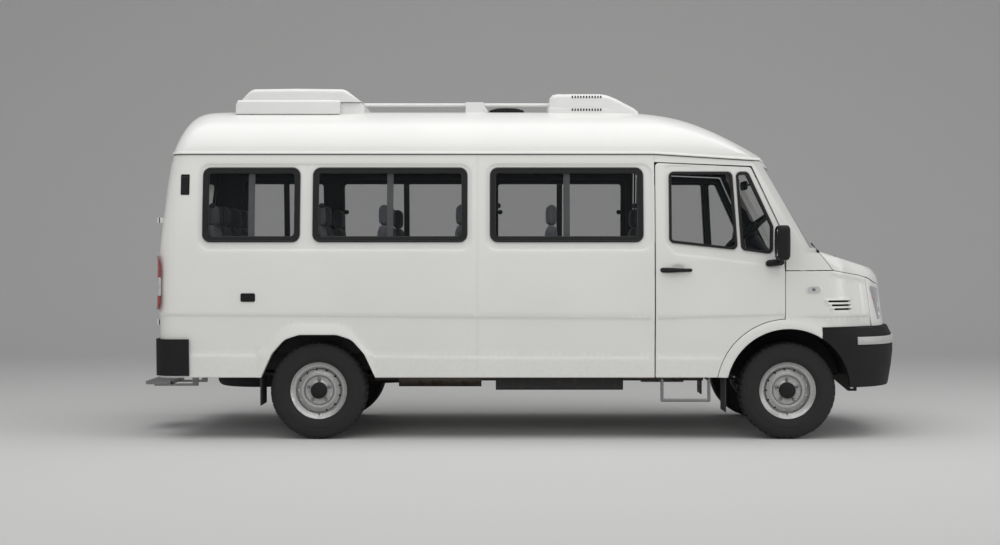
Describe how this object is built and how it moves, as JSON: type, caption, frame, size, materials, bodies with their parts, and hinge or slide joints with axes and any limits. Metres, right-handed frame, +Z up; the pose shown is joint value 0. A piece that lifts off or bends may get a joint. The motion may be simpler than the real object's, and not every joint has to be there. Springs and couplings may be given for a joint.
{
  "type": "minibus",
  "caption": "Long raised-roof minibus with side windows, hinged cab and rear doors, opening bonnet, steered front wheels and roof-mounted cooling units.",
  "frame": {"origin": "on the ground, midway along the overall length and width", "axes": "+X forward, +Y to the vehicle's left, +Z up"},
  "size_m": [5.636, 2.464, 2.55],
  "materials": {
    "body_paint": "gloss white enamel",
    "floor_paint": "dark underbody paint",
    "tinted_glass": "lightly tinted",
    "black_plastic": "grained black",
    "window_rubber": "black rubber",
    "step_steel": "dark paint",
    "red_lamp": "red lens",
    "clear_lamp": "clear lens",
    "frame_steel": "black chassis paint",
    "axle_iron": "as cast, painted black",
    "tank_steel": "black paint",
    "engine_iron": "as cast",
    "tyre_rubber": "black rubber",
    "wheel_steel": "silver wheel paint",
    "exhaust_steel": "dull",
    "flap_rubber": "black rubber",
    "unit_plastic": "white moulding",
    "rail_paint": "white paint",
    "dark_vent": "dark grille",
    "seat_fabric": "dark grey cloth",
    "dash_plastic": "dark grey"
  },
  "bodies": {
    "body": {"body_glass": "tinted_glass", "dashboard": "dash_plastic", "engine": "engine_iron", "exhaust": "exhaust_steel", "fenders": "body_paint", "floor": "floor_paint", "frame_rails": "frame_steel", "front_axle": "axle_iron", "front_bumper": "black_plastic", "front_frame": "body_paint", "front_lamps": "clear_lamp", "front_panel": "body_paint", "fuel_tank": "tank_steel", "mudflaps": "flap_rubber", "propshaft": "frame_steel", "rear_axle": "axle_iron", "rear_bumper": "black_plastic", "roof": "body_paint", "roof_rail": "rail_paint", "roof_unit_front": "unit_plastic", "roof_unit_rear": "unit_plastic", "roof_vent": "dark_vent", "seat_cushions": "seat_fabric", "seat_frames": "frame_steel", "side_left": "body_paint", "side_right": "body_paint", "sliding_door": "body_paint", "spare_wheel": "tyre_rubber", "steps": "step_steel", "tail_lamps": "red_lamp", "wheel_liners": "black_plastic", "window_rubbers": "window_rubber", "wipers": "black_plastic"},
    "knuckle_right": {"knuckle_right": "axle_iron"},
    "knuckle_left": {"knuckle_left": "axle_iron"},
    "wheel_front_right": {"tyre_front_right": "tyre_rubber", "rim_front_right": "wheel_steel"},
    "wheel_front_left": {"tyre_front_left": "tyre_rubber", "rim_front_left": "wheel_steel"},
    "wheel_rear_right": {"tyre_rear_right": "tyre_rubber", "rim_rear_right": "wheel_steel"},
    "wheel_rear_left": {"tyre_rear_left": "tyre_rubber", "rim_rear_left": "wheel_steel"},
    "steering_wheel": {"steering_wheel": "dash_plastic"},
    "door_right": {"door_right": "body_paint", "door_glass_right": "tinted_glass", "door_trim_right": "black_plastic"},
    "door_left": {"door_left": "body_paint", "door_glass_left": "tinted_glass", "door_trim_left": "black_plastic"},
    "rear_door_right": {"rear_door_right": "body_paint", "rear_glass_right": "tinted_glass"},
    "rear_door_left": {"rear_door_left": "body_paint", "rear_glass_left": "tinted_glass"},
    "bonnet": {"bonnet": "body_paint"}
  },
  "joints": [
    {"name": "steer_right", "type": "hinge", "parent": "body", "child": "knuckle_right", "pos_m": [1.92, -0.76, 0.346], "axis": [0, 0, 1], "range_deg": [-35, 35]},
    {"name": "steer_left", "type": "hinge", "parent": "body", "child": "knuckle_left", "pos_m": [1.92, 0.76, 0.346], "axis": [0, 0, 1], "range_deg": [-35, 35]},
    {"name": "steering_wheel_turn", "type": "hinge", "parent": "body", "child": "steering_wheel", "pos_m": [1.712, -0.42, 1.5], "axis": [-0.6157, 0, 0.788], "range_deg": [-540, 540]},
    {"name": "roll_front_right", "type": "hinge", "parent": "knuckle_right", "child": "wheel_front_right", "pos_m": [1.92, -0.85, 0.346], "axis": [0, 1, 0], "continuous": true},
    {"name": "roll_front_left", "type": "hinge", "parent": "knuckle_left", "child": "wheel_front_left", "pos_m": [1.92, 0.85, 0.346], "axis": [0, 1, 0], "continuous": true},
    {"name": "roll_rear_right", "type": "hinge", "parent": "body", "child": "wheel_rear_right", "pos_m": [-1.43, -0.85, 0.346], "axis": [0, 1, 0], "continuous": true},
    {"name": "roll_rear_left", "type": "hinge", "parent": "body", "child": "wheel_rear_left", "pos_m": [-1.43, 0.85, 0.346], "axis": [0, 1, 0], "continuous": true},
    {"name": "driver_door_swing", "type": "hinge", "parent": "body", "child": "door_right", "pos_m": [1.89, -1.006, 1], "axis": [0, 0, 1], "range_deg": [0, 70]},
    {"name": "passenger_door_swing", "type": "hinge", "parent": "body", "child": "door_left", "pos_m": [1.89, 1.006, 1], "axis": [0, 0, -1], "range_deg": [0, 70]},
    {"name": "rear_door_right_swing", "type": "hinge", "parent": "body", "child": "rear_door_right", "pos_m": [-2.592, -0.846, 1], "axis": [0, 0, 1], "range_deg": [0, 180]},
    {"name": "rear_door_left_swing", "type": "hinge", "parent": "body", "child": "rear_door_left", "pos_m": [-2.592, 0.846, 1], "axis": [0, 0, -1], "range_deg": [0, 180]},
    {"name": "bonnet_lift", "type": "hinge", "parent": "body", "child": "bonnet", "pos_m": [2.24, 0, 1.306], "axis": [0, -1, 0], "range_deg": [0, 45]}
  ],
  "couplings": [
    {"joint": "steer_left", "follows": "steer_right", "ratio": 1},
    {"joint": "steering_wheel_turn", "follows": "steer_right", "ratio": 15.4}
  ]
}
